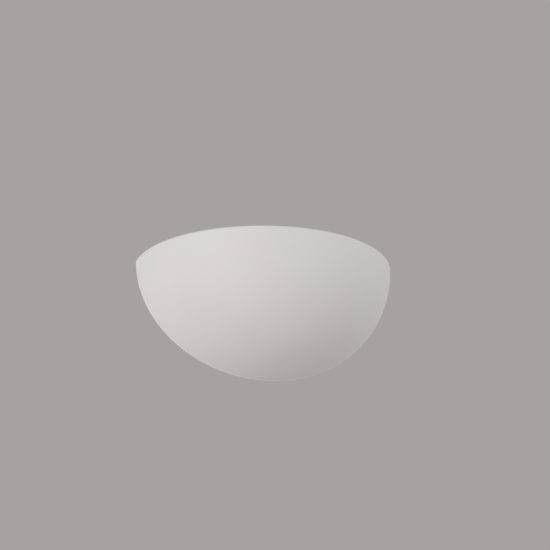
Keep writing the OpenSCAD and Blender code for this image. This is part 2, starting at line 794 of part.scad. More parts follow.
module earth_screw() color(brass) on_earth(tag_t + earth_washer_t)
  slotted_screw(earth_r, tag_t + earth_washer_t + plate_t + 3, earth_head_r, earth_head_h);

// ---------------------------------------------------------------- wires

// Where the wires leave the lower end of the block, and where they enter the holder
function cell_exit(cell, below) =
  [block_x + cell * cell_pitch, -dish_d - cell_axis, block_z - cell_l / 2 - below];
function holder_entry(side, before) =
  [arm_x + terminal_s, terminal_w - terminal_inner - lamp_y + before, lamp_z + side * terminal_off];

live_route = [
  cell_exit(-1, 0.5), cell_exit(-1, 5), [10, -14, -23], [-8, -13, -25], [-28, -13, -23],
  [-44, -15, -15], [-55, -20, -3], [-62, -28, 8], holder_entry(1, 10), holder_entry(1, 0.5)
];
neutral_route = [
  cell_exit(0, 0.5), cell_exit(0, 6), [22, -14, -28], [2, -13, -30], [-24, -13, -29],
  [-44, -14, -24], [-57, -20, -15], [-63, -29, -7], holder_entry(-1, 10), holder_entry(-1, 0.5)
];
earth_route = [
  cell_exit(1, 0.5), cell_exit(1, 4), [block_x + cell_pitch + 3, -13, earth_z - 2],
  [barrel_x - tag_barrel - tag_lead, -dish_d - barrel_r, earth_z],
  [barrel_x - tag_barrel - 0.5, -dish_d - barrel_r, earth_z],
  [barrel_x - 1, -dish_d - barrel_r, earth_z]
];

// A point between p[i] and p[i + 1] on the smooth curve through all the points
function between(p, i, t) =
  let (
    n = len(p) - 1,
    a = p[max(i - 1, 0)],
    b = p[i],
    c = p[min(i + 1, n)],
    d = p[min(i + 2, n)]
  )
  0.5 * (2 * b + (c - a) * t + (2 * a - 5 * b + 4 * c - d) * t * t + (3 * b - a - 3 * c + d) * t * t * t);
function smooth(p, steps) =
  concat([for (i = [0 : len(p) - 2], k = [0 : steps - 1]) between(p, i, k / steps)], [p[len(p) - 1]]);

function unit(v) = v / norm(v);
// A ring of points round a centre, square to a direction
aside = [0.5, 1, 0.6];
function ring(centre, way, r, sides) =
  let (u = unit(cross(way, aside)), v = unit(cross(way, u)))
  [for (k = [0 : sides - 1]) centre + r * (cos(360 * k / sides) * u + sin(360 * k / sides) * v)];

// An insulated wire along a smooth route, with a length of bare conductor at either end
module wire(route, bare_a, bare_b) {
  sides = 8;
  p = smooth(route, 4);
  n = len(p) - 1;
  start = unit(route[1] - route[0]);
  end = unit(route[len(route) - 1] - route[len(route) - 2]);
  body = [for (i = [1 : n - 1]) ring(p[i], unit(p[i + 1] - p[i - 1]), wire_r, sides)];
  rings = concat(
    [ring(p[0] - bare_a * start, start, core_r, sides), ring(p[0], start, core_r, sides)],
    [ring(p[0], start, wire_r, sides)],
    body,
    [ring(p[n], end, wire_r, sides)],
    [ring(p[n], end, core_r, sides), ring(p[n] + bare_b * end, end, core_r, sides)]
  );
  last = len(rings) - 1;
  points = [for (one = rings, point = one) point];
  skin = [for (i = [0 : last - 1], k = [0 : sides - 1])
    let (m = (k + 1) % sides)
    each [
      [i * sides + k, (i + 1) * sides + k, (i + 1) * sides + m],
      [i * sides + k, (i + 1) * sides + m, i * sides + m]
    ]
  ];
  caps = [[for (k = [0 : sides - 1]) k], [for (k = [sides - 1 : -1 : 0]) last * sides + k]];
  polyhedron(points = points, faces = concat(skin, caps), convexity = 6);
}

module live_wire() color(brown) wire(live_route, bare_l, bare_l);
module neutral_wire() color(blue) wire(neutral_route, bare_l, bare_l);
module earth_wire() color(green) wire(earth_route, bare_l, seat_gap);

// ---------------------------------------------------------------- lamp

module on_lamp(s = 0) { along_lamp(lamp_tip + s) children(); }

// Half section of the bulb, drawn in by t from the outer surface of the glass: a neck, a hollow
// curve and a ball that meet without a corner
module bulb_section(t) {
  intersection() {
    square([bulb_r, lamp_l]);
    union() {
      translate([0, bulb_s]) circle(r = bulb_r - t);
      difference() {
        polygon([[0, cap_neck - over], [neck_in_cap - t, cap_neck - over],
          [neck_in_cap - t, cap_top + glass_t], [neck_r - t, cap_top + 2 * glass_t],
          [neck_r - t, curve_s], [meet_r, meet_s], [0, bulb_s]]);
        translate([curve_r, curve_s]) circle(r = neck_curve + t);
      }
    }
  }
}

module lamp_glass() color(glass) on_lamp() rotate_extrude() difference() {
  bulb_section(0);
  bulb_section(glass_t);
  square([bulb_r, cap_neck]);
}

// Nickelled cap; its rolled thread is finished later as surface detail
module lamp_cap() color(nickel) on_lamp() rotate_extrude() difference() {
  polygon([[0, insulator_top], [insulator_r + cap_t, insulator_top], [cap_r, cap_shoulder],
    [cap_r, cap_top], [0, cap_top]]);
  polygon([[0, insulator_top - over], [insulator_r, insulator_top - over], [insulator_r, insulator_top],
    [cap_r - cap_t, cap_shoulder], [cap_r - cap_t, cap_top + over], [0, cap_top + over]]);
}

// Black glass between the cap and the tip contact
module lamp_insulator() color(dark_glass) on_lamp() rotate_extrude()
  polygon([[0, insulator_s], [tip_r, insulator_s], [insulator_r - 0.2, insulator_top],
    [insulator_r - 0.2, insulator_top + 1.6], [0, insulator_top + 1.6]]);

module lamp_tip_contact() color(nickel) on_lamp(insulator_s) mirror([0, 0, 1]) dome(tip_r, insulator_s);

// Glass foot with its flare, and the post that carries the filaments
module lamp_stem() color(glass) on_lamp() rotate_extrude() difference() {
  flare_r = neck_in_cap - glass_t - hole_gap;
  union() {
    translate([0, cap_neck]) square([flare_r, glass_t]);
    square([stem_r, stem_top]);
    intersection() {
      translate([0, stem_top]) circle(r = stem_r * 1.25);
      square([2 * stem_r, lamp_l]);
    }
    difference() {
      translate([0, cap_neck]) square([flare_r, stem_base - cap_neck]);
      translate([flare_r, stem_base]) circle(r = stem_base - cap_neck - glass_t);
    }
  }
  translate([-over, -over]) square([stem_r + over, cap_neck + over]);
}

// Points at the two ends of filament i, measured on the lamp
function filament_at(i, r, s) =
  let (turn = 360 * (i + 0.5) / filaments) [r * cos(turn), r * sin(turn), s];
function filament_foot(i) = filament_at(i, filament_low_r, filament_low);
function filament_head(i) = filament_at(i, filament_spread, filament_low + filament_l * cos(filament_tilt));

module lamp_filaments() color(phosphor) on_lamp()
  for (i = [0 : filaments - 1]) rod(filament_foot(i), filament_head(i), filament_r);

// Thin steel wires from the post to both ends of every filament
module filament_supports() color(steel_wire) on_lamp() {
  hub = stem_top + stem_r * 1.25 + hole_gap;
  post_top = filament_head(0)[2] + filament_r + support_r;
  translate([0, 0, hub]) cylinder(r = support_r * 1.5, h = post_top - hub);
  for (i = [0 : filaments - 1]) {
    rod([0, 0, post_top], filament_at(i, filament_spread, post_top), support_r);
    rod(filament_at(i, stem_r + hole_gap, filament_low - filament_r - support_r),
      filament_at(i, filament_low_r + filament_r, filament_low - filament_r - support_r), support_r);
  }
}

plaster_bowl();
wall_plate();
bowl_studs();
stud_washers();
knurled_nuts();
holder_arm();
arm_rivets();
lampholder_body();
lampholder_shell();
centre_contact();
contact_rivets();
holder_terminals();
holder_terminal_screws();
holder_screws();
terminal_block();
terminal_inserts();
terminal_screws();
block_screw();
cable_grommet();
earth_screw();
earth_washer();
earth_tag();
live_wire();
neutral_wire();
earth_wire();
lamp_cap();
lamp_insulator();
lamp_tip_contact();
lamp_glass();
lamp_stem();
lamp_filaments();
filament_supports();
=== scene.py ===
import bmesh
import bpy
import numpy as np
from mathutils import Matrix, Vector


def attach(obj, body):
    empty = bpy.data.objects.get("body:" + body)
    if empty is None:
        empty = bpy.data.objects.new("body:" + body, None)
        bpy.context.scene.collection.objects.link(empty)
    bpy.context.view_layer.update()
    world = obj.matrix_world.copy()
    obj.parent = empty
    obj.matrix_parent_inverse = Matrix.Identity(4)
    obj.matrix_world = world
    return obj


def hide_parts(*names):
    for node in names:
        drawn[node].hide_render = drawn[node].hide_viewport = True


# ---------------------------------------------------------------- the light as it is drawn
# An uplighter for a wall: a steel plate carries a lampholder and its wiring, a lamp lies along the
# wall, and a quarter bowl of plaster hangs in front on two studs. Shapes are in millimetres, from the
# wall (Y = 0) and the middle of the plate, with X to the right. Materials measure in metres.
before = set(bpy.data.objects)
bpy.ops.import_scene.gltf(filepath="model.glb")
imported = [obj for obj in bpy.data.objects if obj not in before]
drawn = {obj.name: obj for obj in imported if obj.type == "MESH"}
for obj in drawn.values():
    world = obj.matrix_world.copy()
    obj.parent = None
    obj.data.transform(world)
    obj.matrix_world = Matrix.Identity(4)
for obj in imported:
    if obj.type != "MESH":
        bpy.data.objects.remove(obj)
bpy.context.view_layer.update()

# ---------------------------------------------------------------- wall plate
# Pressed steel strap with a shallow dish in its middle, holes pierced, then powder coated white.
# The coat has the fine waves of baked powder, and it is rubbed thin round the two fixing slots.
slot_x, slot_length, slot_width = 94, 10, 4.5
rub_full, rub_gone, rub_ragged = 0.0027, 0.0033, 0.0010


class Shade:
    """One socket in a material. Python's own signs on it add Math nodes to that material."""

    def __init__(self, tree, socket):
        self.tree, self.socket = tree, socket

    def node(self, kind, settings=None, sockets=None, out=0):
        """Any other node: its settings first, then its sockets."""
        made = self.tree.nodes.new(kind)
        for name, value in (settings or {}).items():
            setattr(made, name, value)
        for key, value in (sockets or {}).items():
            self.fill(made.inputs[key], value)
        return Shade(self.tree, made.outputs[out])

    def fill(self, target, value):
        """Links a socket, or sets a number or colour on it."""
        if isinstance(value, Shade):
            self.tree.links.new(value.socket, target)
        else:
            target.default_value = value

    def maths(self, sign, first, second=0.0):
        """A Math node with that operation."""
        return self.node("ShaderNodeMath", {"operation": sign}, {0: first, 1: second})

    def __add__(self, other):
        return self.maths("ADD", self, other)

    def __sub__(self, other):
        return self.maths("SUBTRACT", self, other)

    def __rsub__(self, other):
        return self.maths("SUBTRACT", other, self)

    def __mul__(self, other):
        return self.maths("MULTIPLY", self, other)

    def __pow__(self, other):
        return self.maths("POWER", self, other)

    def __abs__(self):
        return self.maths("ABSOLUTE", self)

    __radd__, __rmul__ = __add__, __mul__

    def grain(self, size, detail=2.0, rough=0.5):
        """Soft random grain whose patches are about that many millimetres across, from 0 to 1."""
        return self.node("ShaderNodeTexNoise", None, {
            "Vector": self, "Scale": 1000.0 / size, "Detail": detail, "Roughness": rough})

    def dots(self, scale, full, gone):
        """Small round dots, scale to a metre: 1 within full of a dot's middle, and 0 past gone."""
        return self.node("ShaderNodeTexVoronoi", None, {"Vector": self, "Scale": scale}).step(gone, full)

    def step(self, low, high):
        """0 below low, 1 above high and smooth in between; turned round when low is the larger."""
        return self.node("ShaderNodeMapRange", {"interpolation_type": "SMOOTHSTEP"},
                         {0: self, 1: low, 2: high, 3: 0.0, 4: 1.0})

    def blend(self, first, second):
        """A colour between first, where this is 0, and second, where it is 1."""
        return self.node("ShaderNodeMix", {"data_type": "RGBA"}, {0: self, 6: first, 7: second}, 2)

    def bumps(self, height, strength=1.0, under=None):
        """A normal from this as a height map, height metres from 0 to 1, on top of another."""
        more = {} if under is None else {"Normal": under}
        return self.node("ShaderNodeBump", None,
                         {"Height": self, "Distance": height, "Strength": strength, **more})

    def stretched(self, x, y, z):
        """The same place with each axis scaled, which draws a pattern out along the small ones."""
        return self.node("ShaderNodeMapping", None, {"Vector": self, "Scale": (x, y, z)})

    def axes(self):
        """The X, Y and Z of a place."""
        parts = self.node("ShaderNodeSeparateXYZ", None, {0: self})
        return [Shade(self.tree, parts.socket.node.outputs[i]) for i in range(3)]


def finish(name):
    """A new material, and the place on the piece that its patterns follow, in metres."""
    material = bpy.data.materials.new(name)
    material.use_nodes = True
    tree = material.node_tree
    return material, Shade(tree, tree.nodes.new("ShaderNodeTexCoord").outputs["Object"])


def lay_on(material, here, sockets):
    """Gives the material's own shader its colours, numbers and links."""
    shader = material.node_tree.nodes["Principled BSDF"]
    for name, value in sockets.items():
        here.fill(shader.inputs[name], value)
    return material


def dress(names, material):
    """Puts a material on pieces that keep the shape they are drawn with."""
    for name in names:
        for place in drawn[name].material_slots:
            place.material = material


def distance(a, b):
    """The long side of a right-angled triangle whose short sides are two sockets."""
    return (a * a + b * b) ** 0.5


def powder_coat():
    """White powder coat: fine waves, faint cloudiness, and rubbed edges round the slots, by the
    distance from each slot's middle line, which counts little along the slot itself."""
    material, here = finish("white_powder_coat")
    x, z = here.axes()[::2]
    straight, far = (slot_length - slot_width) / 2000, 0.02
    along = (abs(abs(x) - slot_x / 1000) - straight).step(0.0, far) * far
    rubbed = (distance(along, z) + here.grain(1.2) * rub_ragged).step(rub_gone, rub_full)
    cloud = here.grain(26, 3)
    waves = here.grain(1.5, 2, 0.6)
    coat = cloud.blend((0.815, 0.80, 0.785, 1), (0.865, 0.855, 0.84, 1))
    return lay_on(material, here, {
        "Base Color": rubbed.blend(coat, (0.55, 0.56, 0.56, 1)),
        "Roughness": 0.34 + waves * 0.14 + rubbed * 0.1,
        "Metallic": rubbed * 0.7,
        "Normal": waves.bumps(0.00006, 0.9),
    })


dress(["wall_plate"], powder_coat())

# ---------------------------------------------------------------- cable grommet
# Black rubber ring that grips the edge of the cable hole, moulded, with a dull bloom on it.


def rubber_bloom():
    """Black rubber with a greyish bloom in soft patches."""
    material, here = finish("black_rubber")
    bloom = here.grain(2.6, 4).step(0.42, 0.75)
    skin_marks = here.grain(0.35, 3, 0.7)
    return lay_on(material, here, {
        "Base Color": bloom.blend((0.018, 0.018, 0.019, 1), (0.06, 0.058, 0.056, 1)),
        "Roughness": 0.6 + bloom * 0.25,
        "Normal": skin_marks.bumps(0.00004, 0.6),
    })


dress(["cable_grommet"], rubber_bloom())

# ---------------------------------------------------------------- holder arm and its rivets
# Steel strip bent to an L, riveted to the dish. Strip, rivets and screws are zinc plated and
# passivated, which leaves a faint blue and straw tint over the rolled grain of the strip.


def zinc_plate(name, grain_along=(1.0, 1.0, 1.0)):
    """Bright zinc on steel. The grain runs along the axes whose scale is small."""
    material, here = finish(name)
    tint = here.grain(9, 3)
    rolled = here.stretched(*grain_along).grain(0.22, 3, 0.65)
    spots = here.grain(0.8, 2).step(0.66, 0.78)
    straw = tint.step(0.45, 0.8).blend((0.50, 0.52, 0.55, 1), (0.55, 0.54, 0.505, 1))
    return lay_on(material, here, {
        "Base Color": (spots * 0.4).blend(straw, (0.40, 0.41, 0.43, 1)),
        "Metallic": 1.0,
        "Roughness": 0.36 + rolled * 0.2 + tint * 0.08,
        "Normal": rolled.bumps(0.00002, 0.5),
    })


strip_zinc = zinc_plate("rolled_zinc", (0.08, 0.08, 1.0))
screw_zinc = zinc_plate("screw_zinc")
dress(["holder_arm"], strip_zinc)
dress(["arm_rivets", "holder_screws"], screw_zinc)

# ---------------------------------------------------------------- porcelain lampholder
# Pressed porcelain body with a foot, a barrel and a rolled lip. It is glazed all over but for the
# face that stood in the kiln, against the arm, where the bare biscuit is rough and a little darker.
holder_foot = -78.0


def porcelain_glaze():
    """Cream-white glaze with slow waves and a few iron specks, bare on the kiln face."""
    material, here = finish("glazed_porcelain")
    bare = here.axes()[0].step(holder_foot / 1000 + 0.0009, holder_foot / 1000 + 0.0003)
    waves = here.grain(7, 2)
    specks = here.dots(420.0, 0.05, 0.085)
    rare = here.grain(5).step(0.58, 0.62)
    sand = here.grain(0.3, 4, 0.7)
    glazed = (specks * rare * 0.75).blend((0.84, 0.82, 0.77, 1), (0.30, 0.22, 0.15, 1))
    return lay_on(material, here, {
        "Base Color": bare.blend(glazed, (0.70, 0.66, 0.59, 1)),
        "Roughness": 0.10 + waves * 0.05 + bare * 0.7,
        "Coat Weight": 0.8 - bare * 0.8,
        "Coat Roughness": 0.04,
        "Normal": (sand * bare).bumps(0.00008, 0.9, waves.bumps(0.00018, 0.5)),
    })


dress(["lampholder_body"], porcelain_glaze())

# ---------------------------------------------------------------- screw shell of the lampholder
# Nickelled sheet rolled to a round thread of seven turns to the inch, with a turned-in floor. Its
# thread and the lamp's are cut from one wave, so that the cap screws out of it without touching.
thread_pitch, thread_half_height = 25.4 / 7, 0.43
lamp_axis_y, lamp_axis_z, lamp_sides = -62.0, 3.0, 96
shell_floor, shell_mouth, shell_crest_r, shell_hole_r = -57.0, -32.0, 13.3, 8.6
shell_sheet, floor_sheet = 0.32, 0.5


def skin(points, ring_rows=False, ring_columns=False):
    """Corners, four-sided faces and wrap of a grid of points (rows, columns, 3). Face (i, j) joins
    points (i, j), (i, j+1), (i+1, j+1) and (i+1, j); a ring closes the last on the first. The wrap
    runs from 0 to 1 across the columns and from 0 to 1 along the rows."""
    rows, columns = points.shape[:2]
    i, j = np.meshgrid(np.arange(rows if ring_rows else rows - 1),
                       np.arange(columns if ring_columns else columns - 1), indexing="ij")
    across = np.stack([j, j + 1, j + 1, j], -1).reshape(-1, 4)
    along = np.stack([i, i, i + 1, i + 1], -1).reshape(-1, 4)
    faces = (along % rows) * columns + across % columns
    wrap = np.stack([across / max(columns - (not ring_columns), 1),
                     along / max(rows - (not ring_rows), 1)], -1)
    return points.reshape(-1, 3), faces, wrap.reshape(-1, 2)


def piece(name, skins, material, body, stands_for, crease=40, wear=None):
    """One mesh out of skins in millimetres. Points that meet are merged, which closes seams and
    poles, normals are turned outwards, and edges sharper than crease degrees stay sharp."""
    corners, faces, wraps = zip(*skins)
    starts = np.cumsum([0] + [len(points) for points in corners[:-1]])
    faces = np.concatenate([face + start for face, start in zip(faces, starts)])
    mesh = bpy.data.meshes.new(name)
    mesh.from_pydata(np.concatenate(corners) / 1000, [], faces.tolist())
    wrap = np.concatenate(wraps).astype(np.float32)
    mesh.uv_layers.new(name="wrap").data.foreach_set("uv", wrap.ravel())
    if wear is not None:
        worn = mesh.attributes.new("wear", "FLOAT", "POINT")
        worn.data.foreach_set("value", wear.astype(np.float32).ravel())
    same_place, no_length = 1e-6, 1e-8
    whole = bmesh.new()
    whole.from_mesh(mesh)
    bmesh.ops.remove_doubles(whole, verts=whole.verts, dist=same_place)
    bmesh.ops.dissolve_degenerate(whole, dist=no_length, edges=whole.edges)
    bmesh.ops.recalc_face_normals(whole, faces=whole.faces)
    whole.to_mesh(mesh)
    whole.free()
    mesh.shade_smooth()
    mesh.set_sharp_from_angle(angle=np.radians(crease))
    mesh.materials.append(material)
    made = bpy.data.objects.new(name, mesh)
    bpy.context.scene.collection.objects.link(made)
    if stands_for:
        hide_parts(*stands_for)
    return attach(made, body)


def ring(sides):
    """Angles that go evenly once round: 2 pi j / sides."""
    return np.arange(sides) * 2 * np.pi / sides


def turned(along, radius):
    """A round surface about the lamp's axis. Point (i, j) lies at x = along and at
    (y, z) = axis + radius (cos a, sin a), with a once round the ring."""
    angle = ring(lamp_sides)
    along, radius, angle = np.broadcast_arrays(along.reshape(-1, 1), radius, angle)
    return np.stack([along, lamp_axis_y + radius * np.cos(angle),
                     lamp_axis_z + radius * np.sin(angle)], -1)


def screw_wave(x):
    """Height of the round thread, from -1 in a valley to 1 on a crest: cos(2 pi x / pitch - a),
    which climbs along +X by one pitch a turn, as a right-handed thread does."""
    return np.cos(2 * np.pi * x[:, None] / thread_pitch - ring(lamp_sides))


def ease(value, low, high):
    """0 at low and 1 at high, with no corner at either end: 3 t squared less 2 t cubed."""
    t = np.clip((value - low) / (high - low), 0, 1)
    return t * t * (3 - 2 * t)


def screw_shell():
    """Grid of the sheet's closed section: inner wall down, floor to its hole, floor back, and outer
    wall up. The walls carry the thread, faded out at the floor and at the mouth."""
    x = np.linspace(shell_mouth, shell_floor + floor_sheet + 0.1, 84)
    full = ease(x, shell_floor + 1.0, shell_floor + 3.0)
    full = (full * (1 - ease(x, shell_mouth - 2.2, shell_mouth - 0.6)))[:, None]
    wave = screw_wave(x) * full + (1 - full)
    inner = shell_crest_r - thread_half_height + thread_half_height * wave
    outer = inner[::-1] + shell_sheet
    floor_x, floor_r = np.array([
        [floor_sheet, shell_crest_r - 0.1], [floor_sheet, shell_hole_r + 0.2],
        [floor_sheet - 0.1, shell_hole_r], [0.1, shell_hole_r], [0, shell_hole_r + 0.2],
        [0, shell_crest_r], [0.25, shell_crest_r + 0.25]]).T
    along = np.concatenate([x, shell_floor + floor_x, x[::-1]])
    radius = np.concatenate([inner, np.repeat(floor_r[:, None], lamp_sides, 1), outer])
    return skin(turned(along, radius), ring_rows=True, ring_columns=True)


def nickel_plate(name, ringed=0.0):
    """Satin nickel on brass sheet, with spinning marks round the lamp's axis when ringed is 1."""
    material, here = finish(name)
    rings = here.stretched(1.0, 0.03, 0.03).grain(0.16, 2, 0.6)
    smear = here.grain(3.2, 3)
    marks = rings * ringed + smear * (1 - ringed)
    return lay_on(material, here, {
        "Base Color": smear.step(0.35, 0.75).blend((0.70, 0.67, 0.62, 1), (0.60, 0.56, 0.50, 1)),
        "Metallic": 1.0,
        "Roughness": 0.18 + marks * 0.16 + smear * 0.08,
        "Normal": marks.bumps(0.000015, 0.6),
    })


rolled_nickel = nickel_plate("rolled_nickel", 1.0)
piece("screw_shell", [screw_shell()], rolled_nickel, "base", ["lampholder_shell"])

# ---------------------------------------------------------------- contacts and terminals
# A sprung bronze tongue touches the lamp's tip. Tongue and shell are riveted to two brass terminals
# in pockets of the porcelain, each with a nickelled cheese-headed screw across it.


def sprung_bronze():
    """Phosphor bronze strip, browned where it was heated, with marks along its length."""
    material, here = finish("sprung_bronze")
    heat = here.grain(4, 3)
    drawn_marks = here.stretched(0.3, 1.0, 0.05).grain(0.14, 2)
    return lay_on(material, here, {
        "Base Color": heat.step(0.35, 0.7).blend((0.66, 0.40, 0.22, 1), (0.46, 0.25, 0.13, 1)),
        "Metallic": 1.0,
        "Roughness": 0.24 + drawn_marks * 0.18,
        "Normal": drawn_marks.bumps(0.000015, 0.6),
    })


def bare_brass(name, axis_x=None, axis_z=0.0):
    """Machined brass, dulled in patches. With an axis it has the rings of the lathe round it: the
    rings follow the distance from that axis, which stands out from the wall on either side."""
    material, here = finish(name)
    dull = here.grain(2.4, 4, 0.6)
    if axis_x is None:
        marks = here.stretched(1.0, 0.1, 1.0).grain(0.2, 2)
    else:
        x, z = here.axes()[::2]
        out = distance(abs(x) - axis_x / 1000, z - axis_z / 1000)
        rings = here.node("ShaderNodeTexNoise", {"noise_dimensions": "1D"},
                          {"W": out * 4200.0, "Scale": 1.0, "Detail": 2.0})
        marks = rings + here.grain(0.5) * 0.3
    return lay_on(material, here, {
        "Base Color": dull.step(0.4, 0.72).blend((0.84, 0.67, 0.37, 1), (0.66, 0.50, 0.26, 1)),
        "Metallic": 1.0,
        "Roughness": 0.20 + dull * 0.16 + marks * 0.1,
        "Normal": marks.bumps(0.00002, 0.5),
    })


block_brass = bare_brass("terminal_brass")
dress(["centre_contact"], sprung_bronze())
dress(["contact_rivets", "holder_terminals"], block_brass)
dress(["holder_terminal_screws"], nickel_plate("screw_nickel"))

# ---------------------------------------------------------------- terminal block
# Moulded nylon strip of three cells with a brass insert in each, two clamping screws to an insert,
# and one screw that holds the strip to the dish. The nylon is milky and lets a little light in.


def milky_nylon():
    """Natural nylon, a little yellowed, with the dull skin of its mould."""
    material, here = finish("milky_nylon")
    flow = here.grain(5, 3)
    dull = here.grain(0.25, 3, 0.7)
    return lay_on(material, here, {
        "Base Color": flow.blend((0.74, 0.72, 0.62, 1), (0.82, 0.80, 0.72, 1)),
        "Roughness": 0.38 + dull * 0.16,
        "Subsurface Weight": 0.35,
        "Subsurface Radius": (0.0022, 0.0018, 0.0012),
        "Normal": dull.bumps(0.00003, 0.6),
    })


dress(["terminal_block"], milky_nylon())
dress(["terminal_inserts"], block_brass)
dress(["terminal_screws", "block_screw"], screw_zinc)

# ---------------------------------------------------------------- earth point
# Brass cheese-headed screw, a toothed washer and a ring tag crimped on the earth wire. The screw
# goes into a tapped hole in the dish, and its head shows the rings of the lathe.
earth_x, earth_z = 65, -17
dress(["earth_tag"], block_brass)
dress(["earth_screw"], bare_brass("earth_screw_brass", earth_x, earth_z))
dress(["earth_washer"], screw_zinc)

# ---------------------------------------------------------------- wires
# Three stranded copper wires in smooth sleeves, dressed low round the dish from the block: brown
# and blue to the holder's terminals, green and yellow to the ring tag. 2.2 mm over the sleeve.
sleeve_r, strand_r, bared, tucked_in = 1.1, 0.6, 5.0, 0.8
live_points = [
    (18, -14.5, -12.5), (18, -14.5, -17), (10, -14, -23), (-8, -13, -25), (-28, -13, -23),
    (-44, -15, -15), (-55, -20, -3), (-62, -28, 8), (-65, -43, 11), (-65, -52.5, 11)]
neutral_points = [
    (30, -14.5, -12.5), (30, -14.5, -18), (22, -14, -28), (2, -13, -30), (-24, -13, -29),
    (-44, -14, -24), (-57, -20, -15), (-63, -29, -7), (-65, -43, -5), (-65, -52.5, -5)]
earth_points = [
    (42, -14.5, -12.5), (42, -14.5, -16), (45, -13, -19), (48.8, -10, -17), (52.3, -10, -17),
    (57.8, -10, -17)]


def easy_curve(points, steps=10):
    """The smooth curve through all the points, steps to a leg: on the leg from b to c, with a before
    and d after, half of 2b + (c - a)t + (2a - 5b + 4c - d)t^2 + (3b - a - 3c + d)t^3."""
    p = np.array(points, float)
    legs = np.concatenate([p[:1], p[:-2]]), p[:-1], p[1:], np.concatenate([p[2:], p[-1:]])
    a, b, c, d = (corner[:, None, :] for corner in legs)
    t = (np.arange(steps) / steps)[None, :, None]
    square, cube = 2 * a - 5 * b + 4 * c - d, 3 * b - a - 3 * c + d
    line = 0.5 * (2 * b + (c - a) * t + square * t**2 + cube * t**3)
    return np.concatenate([line.reshape(-1, 3), p[-1:]])


def tube(line, radius, sides=24):
    """Rings round a line, closed by a point at each end: point (i, j) is line(i) + radius
    (cos a u + sin a v), where u and v stand square to the line's own direction there. The radius
    has a row for each point of the line, and one column or one for each side."""
    way = np.gradient(line, axis=0)
    way /= np.linalg.norm(way, axis=1)[:, None]
    u = np.cross(way, (0.5, 1.0, 0.6))
    u /= np.linalg.norm(u, axis=1)[:, None]
    v = np.cross(way, u)
    angle = ring(sides)[:, None]
    rings = line[:, None] + radius[..., None] * (np.cos(angle) * u[:, None] + np.sin(angle) * v[:, None])
    ends = [np.repeat(line[k:k + 1, None], sides, 1) for k in (0, -1)]
    return skin(np.concatenate([ends[0], rings, ends[1]]), ring_columns=True)


def sleeve(points):
    """The insulation: a smooth tube with its two ends cut square and the rims just softened."""
    line = easy_curve(points)
    radius = np.full((len(line), 1), sleeve_r)
    radius[[0, -1]] = sleeve_r - 0.12
    return tube(line, radius)


def strands(points, before, after):
    """Strands twisted together, seen where the sleeve is stripped: straight on from the ends of the
    route, with radius r (0.86 + 0.14 |cos 3 (a - 2 pi s / 6)|)."""
    p = np.array(points, float)
    ends = []
    for corner, way, length in ((p[0], p[0] - p[1], before), (p[-1], p[-1] - p[-2], after)):
        if length > 0:
            s = np.linspace(-tucked_in, length, 40)[:, None]
            lay = np.abs(np.cos(3 * (ring(24) - 2 * np.pi * s / 6)))
            ends.append(tube(corner + s * (way / np.linalg.norm(way)), strand_r * (0.86 + 0.14 * lay)))
    return ends


def wire_sleeve(name, colour, stripe=None):
    """Soft plastic sleeve in one colour, or with a second colour winding one and a half times round
    it on its way, by the wrap."""
    material, here = finish(name)
    grease = here.grain(6, 3)
    shown = colour
    if stripe:
        across, along = here.node("ShaderNodeUVMap", {"uv_map": "wrap"}).axes()[:2]
        turn = here.maths("FRACT", across + along * 1.5)
        shown = (abs(turn - 0.5) * 2.0).step(0.55, 0.62).blend(colour, stripe)
    return lay_on(material, here, {
        "Base Color": (grease * 0.25).blend(shown, (0.02, 0.02, 0.02, 1)),
        "Roughness": 0.34 + grease * 0.2,
        "Normal": here.grain(0.5, 2).bumps(0.00002, 0.5),
    })


def bare_copper():
    """Bright copper strand, a little oxidised."""
    material, here = finish("copper_strand")
    old = here.grain(1.5, 3)
    return lay_on(material, here, {
        "Base Color": old.step(0.4, 0.75).blend((0.83, 0.42, 0.27, 1), (0.48, 0.20, 0.12, 1)),
        "Metallic": 1.0,
        "Roughness": 0.28 + old * 0.15,
    })


copper = bare_copper()
for name, points, finish_slot, colour, stripe, after in (
        ("live", live_points, "brown_insulation", (0.13, 0.055, 0.028, 1), None, bared),
        ("neutral", neutral_points, "blue_insulation", (0.022, 0.10, 0.36, 1), None, bared),
        ("earth", earth_points, "green_insulation", (0.045, 0.27, 0.05, 1),
         (0.80, 0.66, 0.05, 1), 0.0)):
    piece(name + "_sleeve", [sleeve(points)], wire_sleeve(finish_slot, colour, stripe), "base",
          [name + "_wire"])
    piece(name + "_strands", strands(points, bared, after), copper, "base", [])

# ---------------------------------------------------------------- lamp cap, its glass and its tip
# Nickelled cap with the same rolled thread, crimped to the glass by a ring of dimples, black glass
# in its end and a soldered tip. Measured along the lamp from the tip.
lamp_tip = -51.95
cap_end, cap_cone, thread_end, cap_rim, cap_crest_r, cap_sheet = 4.2, 7.2, 22.0, 26.5, 13.0, 0.3
crimp_place, crimp_half_width, crimp_depth, crimps = 24.4, 0.55, 0.34, 8


